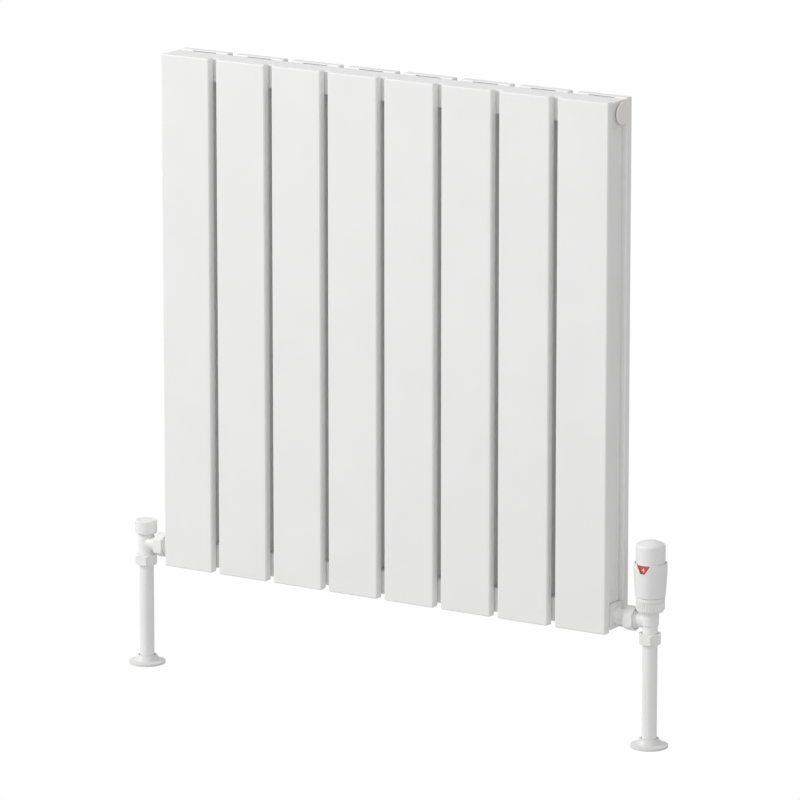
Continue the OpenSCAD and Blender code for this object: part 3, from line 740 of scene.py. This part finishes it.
def sleeve_mesh():
    """Barrel sleeve with the pointer notch in its rim, drawn as one grid so that the notch is clean."""
    foot, rim = z_over_branch("trv_sleeve", False), z_over_branch("trv_sleeve", True)
    notch_foot = rim - NOTCH_DEPTH
    outer = rounded([(13.4, foot, 0), (16.2, foot, 0.2), (16.8, foot + 0.6, 0.4), (17.7, 39, 22),
                     (18.9, 59, 22), (18.7, rim, 0.45), (SLEEVE_BORE_R, rim, 0.3), (SLEEVE_BORE_R, 48, 0),
                     (14.8, 48, 0.3), (14.8, foot + 2, 0), (13.4, foot + 2, 0)])
    outline = []
    for here, after in zip(outer, outer[1:] + outer[:1]):
        outline.append(here)
        if (here[1] - notch_foot) * (after[1] - notch_foot) < 0:
            share = (notch_foot - here[1]) / (after[1] - here[1])
            outline.append((here[0] + (after[0] - here[0]) * share, notch_foot))
    main, wedge = 150, 14
    mesh_bm = bmesh.new()

    def point(r, z, turn):
        a = -math.pi / 2 + turn
        return mesh_bm.verts.new((r * math.cos(a) * MM, r * math.sin(a) * MM, z * MM))

    columns, wedges = [], []
    for r, z in outline:
        half = notch_half_angle(max(z, notch_foot), notch_foot, rim)
        columns.append([point(r, z, half + (2 * math.pi - 2 * half) * k / main) for k in range(main + 1)])
        wedges.append([point(r, z, -half + 2 * half * k / wedge) for k in range(wedge + 1)]
                      if z <= notch_foot + 1e-6 else None)
    count = len(outline)
    for i in range(count):
        j = (i + 1) % count
        for k in range(main):
            mesh_bm.faces.new((columns[i][k], columns[i][k + 1], columns[j][k + 1], columns[j][k]))
        if wedges[i] and wedges[j]:
            for k in range(wedge):
                mesh_bm.faces.new((wedges[i][k], wedges[i][k + 1], wedges[j][k + 1], wedges[j][k]))
    above = [i for i in range(count) if outline[i][1] >= notch_foot - 1e-6]
    for side in (0, main):
        mesh_bm.faces.new([columns[i][side] for i in above])
    edges = [i for i in above if abs(outline[i][1] - notch_foot) < 1e-6]
    first, last = wedges[edges[0]], wedges[edges[-1]]
    for k in range(wedge):
        mesh_bm.faces.new((first[k], first[k + 1], last[k + 1], last[k]))
    bmesh.ops.remove_doubles(mesh_bm, verts=mesh_bm.verts, dist=1e-7)
    bmesh.ops.recalc_face_normals(mesh_bm, faces=mesh_bm.faces)
    notch_edges = [e for e in mesh_bm.edges
                   if len(e.link_faces) == 2 and e.calc_face_angle(0) > math.radians(50)
                   and all(v.co.z > (notch_foot - 0.1) * MM and v.co.y < 0
                           and abs(v.co.x) < 11 * MM for v in e.verts)]
    bmesh.ops.bevel(mesh_bm, geom=notch_edges, offset=0.3 * MM, offset_type="OFFSET", segments=2,
                    profile=0.5, affect="EDGES", clamp_overlap=True)
    return mesh_bm


CROWN_R = 27.0
DOME_R = radius_of("trv_dome")
DIAL_MARKS = "*12345"
DIAL_STEP_DEG = 60
FRONT_MARK = 4
NUMERAL_HEIGHT = 4.7


def numerals():
    """Raised marks round the setting band: the frost mark and 1 to 5, with 4 at the front."""
    low, high = z_over_branch("trv_setting_band", False), z_over_branch("trv_setting_band", True)
    middle = (low + high) / 2
    parts = []
    for setting, mark in enumerate(DIAL_MARKS):
        curve = bpy.data.curves.new("numeral", "FONT")
        curve.body = mark
        curve.size = NUMERAL_HEIGHT * MM * 1.4
        curve.align_x = "CENTER"
        curve.extrude = 0.12 * MM
        curve.offset = 0.09 * MM
        text = bpy.data.objects.new("numeral", curve)
        bpy.context.scene.collection.objects.link(text)
        graph = bpy.context.evaluated_depsgraph_get()
        mesh = bpy.data.meshes.new_from_object(text.evaluated_get(graph))
        bpy.data.objects.remove(text)
        part = bmesh.new()
        part.from_mesh(mesh)
        centre = [(min(v.co[i] for v in part.verts) + max(v.co[i] for v in part.verts)) / 2
                  for i in range(3)]
        azimuth = math.radians(-90 - DIAL_STEP_DEG * (setting - FRONT_MARK))
        outwards = Vector((math.cos(azimuth), math.sin(azimuth), 0))
        seat = TRV_AXIS + outwards * (DOME_R + 0.02) * MM + Vector((0, 0, middle * MM))
        place = (Matrix.Translation(seat)
                 @ Matrix.Rotation(azimuth + math.pi / 2, 4, "Z") @ Matrix.Rotation(math.pi / 2, 4, "X")
                 @ Matrix.Translation(-Vector(centre)))
        parts.append(placed(part, place))
    return join(parts)


def build_head():
    ring_nut()
    base_foot, base_top = z_over_branch("trv_ring_nut", True), z_over_branch("trv_sleeve", False)
    cage_top = z_over_branch("trv_head_base", True)
    seat = z_over_branch("trv_head_base", False)
    turned("trv_base_ring", "trv_head_base",
           [(10.5, seat, 0.2), (13.9, seat, 0.2), (13.9, base_foot, 0), (15.4, base_foot, 0.3),
            (16.2, base_foot + 1.3, 1.2), (16.2, base_top - 0.4, 0.35), (15.2, base_top - 0.35, 0),
            (15.2, base_top + 0.1, 0), (13.4, base_top + 0.1, 0), (13.4, cage_top, 0.4),
            (12.0, cage_top, 0.4), (12.0, base_top, 0), (10.5, base_top, 0.2)],
           TRV_AXIS, PLASTIC, "radiator")
    piece("trv_sleeve_barrel", placed(sleeve_mesh(), upright(TRV_AXIS)), PLASTIC, "radiator", ["trv_sleeve"],
          smooth=38)
    skirt_foot, dome_top = z_over_branch("trv_dome", False), z_over_branch("trv_dome", True)
    band_foot = z_over_branch("trv_setting_band", False)
    split = z_over_branch("trv_setting_band", True) - 0.8      # red ends this far under the rim
    crown = [(r, dome_top - r * r / (2 * CROWN_R), 0) for r in range(0, 13, 2)]
    turned("trv_turning_dome", "trv_dome",
           crown + [(DOME_R, dome_top - 4.9, 4.0), (DOME_R, split, 0), (DOME_R - 1, split, 0),
                    (DOME_R - 1, skirt_foot, 0.3), (14.5, skirt_foot, 0.3), (14.5, dome_top - 8.8, 3),
                    (9, dome_top - 4.2, 4), (0, dome_top - 2.6, 0)],
           TRV_AXIS, PLASTIC, "trv_dial", 160, smooth=30)
    turned("trv_number_band", "trv_setting_band",
           [(DOME_R - 1, band_foot, 0), (DOME_R, band_foot, 0.25), (DOME_R, split, 0),
            (DOME_R - 1, split, 0)],
           TRV_AXIS, BAND_RED, "trv_dial", 160)
    piece("trv_band_numerals", numerals(), NUMERAL_WHITE, "trv_dial", smooth=20)


TRV_TRUNK_R = 9.9
TRV_BRANCH_R = 9.0
LOCK_TRUNK_R = 9.2
LOCK_BRANCH_R = 8.7


def build_valves():
    pipe_thread = [(0, -20.5, 0), (9.4, -20.5, 0.4)] + thread_ridges(9.5, 9.95, -20.0, -15.2, 1.4)
    trv_top = z_over_branch("trv_body", True)
    trv_trunk = pipe_thread + [(8.65, -15.0, 0), (8.65, -4.9, 0), (TRV_TRUNK_R, -4.1, 0.4),
                               (TRV_TRUNK_R, 12, 0), (14, 12, 0.3), (14, trv_top, 0.4), (0, trv_top, 0)]
    valve_body("trv_body_casting", "trv_body", TRV_AXIS, -1, trv_trunk, TRV_TRUNK_R, TRV_BRANCH_R)
    lock_top = z_over_branch("lockshield_body", True)
    lock_trunk = pipe_thread + [(LOCK_TRUNK_R, -15.0, 0), (LOCK_TRUNK_R, lock_top, 0.5), (0, lock_top, 0)]
    valve_body("lockshield_body_casting", "lockshield_body", LOCK_AXIS, 1, lock_trunk, LOCK_TRUNK_R,
               LOCK_BRANCH_R)
    cap_foot, cap_top = z_over_branch("lockshield_cap", False), z_over_branch("lockshield_cap", True)
    cap_r = radius_of("lockshield_cap")
    cap_bore = cap_r - 1.5
    turned("lockshield_cap_moulding", "lockshield_cap",
           [(0, cap_top - 0.25, 0), (cap_r - 3.2, cap_top - 0.25, 2), (cap_r - 2.2, cap_top, 0.8),
            (cap_r, cap_top, 1.5), (cap_r, cap_foot, 0.9), (cap_bore, cap_foot, 0.3), (cap_bore, 12.2, 0),
            (9.25, 12.2, 0.3), (9.25, 13.4, 0.3), (cap_bore, 13.4, 0), (cap_bore, cap_top - 1.7, 1),
            (0, cap_top - 1.7, 0)],
           LOCK_AXIS, PLASTIC, "lockshield_cap", 128, smooth=32)
    piece("compression_nut_pair", both_valves(compression_nut), COATED_BRASS, nodes=["compression_nuts"],
          smooth=32)
    piece("union_nut_pair", both_valves(union_nut), COATED_BRASS, nodes=["union_nuts"],
          smooth=32)
    piece("valve_tail_pair", both_valves(tail), COATED_BRASS, nodes=["valve_tails"])
    piece("pipe_sleeve_pair", both_valves(pipe_sleeve), PIPE_COAT, nodes=["pipe_sleeves"])
    floor_collar("floor_collar_right_moulding", "floor_collar_right", TRV_AXIS)
    floor_collar("floor_collar_left_moulding", "floor_collar_left", LOCK_AXIS)


# ------------------------------------------------------------------ CAD nodes that keep their shape


def finish_cad_nodes():
    """Finishes for the nodes that stay: hidden working parts and the wall fixings."""
    finishes = {
        "bracket_lugs": POWDER, "lug_pins": STEEL, "bracket_liners": GREY_PLASTIC, "wall_brackets": ZINC,
        "trv_insert": BRASS, "trv_pin": STEEL, "trv_return_spring": STEEL, "trv_sensor": ZINC,
        "trv_overtravel_spring": STEEL, "trv_carrier": GREY_PLASTIC, "lockshield_bonnet": BRASS,
        "lockshield_seal": RUBBER, "lockshield_spindle": BRASS, "lockshield_plug": BRASS, "olives": BRASS,
        "copper_pipes": COPPER, "bleed_screw": BRASS,
    }
    for node, material in finishes.items():
        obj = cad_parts[node]
        obj.data.materials.clear()
        obj.data.materials.append(material)
    for node in ("bracket_lugs", "wall_brackets", "bleed_screw", "bracket_liners"):
        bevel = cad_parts[node].modifiers.new("eased_edges", "BEVEL")
        bevel.width, bevel.segments, bevel.limit_method = 0.4 * MM, 2, "ANGLE"
        bevel.angle_limit = math.radians(40)


# ------------------------------------------------------------------ studio

FLOOR_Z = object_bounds()[0].z
FLOOR_HALF = 6.0            # metres
FLOOR_BOUNCE = 0.6          # how much light the floor throws back
AMBIENT = 0.54              # light levels, 1 being white
KEY = 0.54
TOP = 0.05
FILL = 0.11
CAMERA_AZIMUTH = 31.9       # degrees
CAMERA_ELEVATION = 13.02
CAMERA_DISTANCE = 7.504     # metres
CAMERA_TARGET = Vector((0.01007, -0.056, -0.0715))
CAMERA_LENS = 299.46        # millimetres on the sensor width below
SENSOR_WIDTH = 36


def lit_for_camera(tree, output, camera_shader, other_shader):
    """One shader as the plain white seen directly and in gloss, another for the light it gives."""
    path = tree.nodes.new("ShaderNodeLightPath")
    seen = tree.nodes.new("ShaderNodeMath")
    seen.operation = "MAXIMUM"
    tree.links.new(path.outputs["Is Camera Ray"], seen.inputs[0])
    tree.links.new(path.outputs["Is Glossy Ray"], seen.inputs[1])
    mix = tree.nodes.new("ShaderNodeMixShader")
    tree.links.new(seen.outputs[0], mix.inputs["Fac"])
    tree.links.new(other_shader, mix.inputs[1])
    tree.links.new(camera_shader, mix.inputs[2])
    tree.links.new(mix.outputs["Shader"], output.inputs["Surface"])


def build_floor():
    """Plain pale floor that reads as clean white."""
    mesh_bm = bmesh.new()
    half = FLOOR_HALF
    corners = [(-half, -half), (half, -half), (half, half), (-half, half)]
    mesh_bm.faces.new([mesh_bm.verts.new((x, y, FLOOR_Z)) for x, y in corners])
    mesh = bpy.data.meshes.new("studio_floor")
    mesh_bm.to_mesh(mesh)
    mesh_bm.free()
    floor = bpy.data.objects.new("studio_floor", mesh)
    bpy.context.scene.collection.objects.link(floor)
    material = bpy.data.materials.new("studio_floor")
    material.use_nodes = True
    tree = material.node_tree
    tree.nodes.remove(tree.nodes["Principled BSDF"])
    diffuse = tree.nodes.new("ShaderNodeBsdfDiffuse")
    diffuse.inputs["Color"].default_value = (FLOOR_BOUNCE, FLOOR_BOUNCE, FLOOR_BOUNCE, 1)
    glow = tree.nodes.new("ShaderNodeEmission")
    glow.inputs["Strength"].default_value = 1.0
    lit_for_camera(tree, tree.nodes["Material Output"], glow.outputs[0], diffuse.outputs[0])
    mesh.materials.append(material)


def build_world():
    world = bpy.data.worlds.new("studio")
    bpy.context.scene.world = world
    world.use_nodes = True
    tree = world.node_tree
    white = tree.nodes["Background"]
    white.inputs["Color"].default_value = (1, 1, 1, 1)
    white.inputs["Strength"].default_value = 1.0
    soft = tree.nodes.new("ShaderNodeBackground")
    soft.inputs["Color"].default_value = (1, 1, 1, 1)
    soft.inputs["Strength"].default_value = AMBIENT
    lit_for_camera(tree, tree.nodes["World Output"], white.outputs[0], soft.outputs[0])


def area_light(name, place, width, height, strength):
    """Area light aimed at the radiator; strength is what it adds to a white surface that faces it."""
    target = Vector((0, 0, 0))
    light = bpy.data.lights.new(name, "AREA")
    light.shape = "RECTANGLE"
    light.size, light.size_y = width, height
    light.energy = strength * math.pi ** 2 * (Vector(place) - target).length_squared
    obj = bpy.data.objects.new(name, light)
    bpy.context.scene.collection.objects.link(obj)
    obj.location = place
    obj.rotation_euler = (target - Vector(place)).to_track_quat("-Z", "Y").to_euler()
    obj.visible_camera = False


def build_studio():
    build_floor()
    build_world()
    area_light("key_left", (-3.9, -3.1, 2.8), 2.2, 2.2, KEY)
    area_light("front_top", (0.5, -1.6, 1.7), 1.6, 0.5, TOP)
    area_light("fill_right", (3.2, -3.6, 1.2), 2.4, 2.4, FILL)
    camera = bpy.data.objects.new("camera", bpy.data.cameras.new("camera"))
    bpy.context.scene.collection.objects.link(camera)
    camera.data.sensor_width = SENSOR_WIDTH
    camera.data.lens = CAMERA_LENS
    azimuth, elevation = math.radians(CAMERA_AZIMUTH), math.radians(CAMERA_ELEVATION)
    back = Vector((math.sin(azimuth) * math.cos(elevation), -math.cos(azimuth) * math.cos(elevation),
                   math.sin(elevation)))
    camera.location = CAMERA_TARGET + back * CAMERA_DISTANCE
    camera.rotation_euler = (-back).to_track_quat("-Z", "Y").to_euler()
    camera.data.clip_end = 40
    bpy.context.scene.camera = camera
    bpy.context.scene.view_settings.view_transform = "Standard"


build_radiator()
build_valves()
build_head()
finish_cad_nodes()
build_studio()
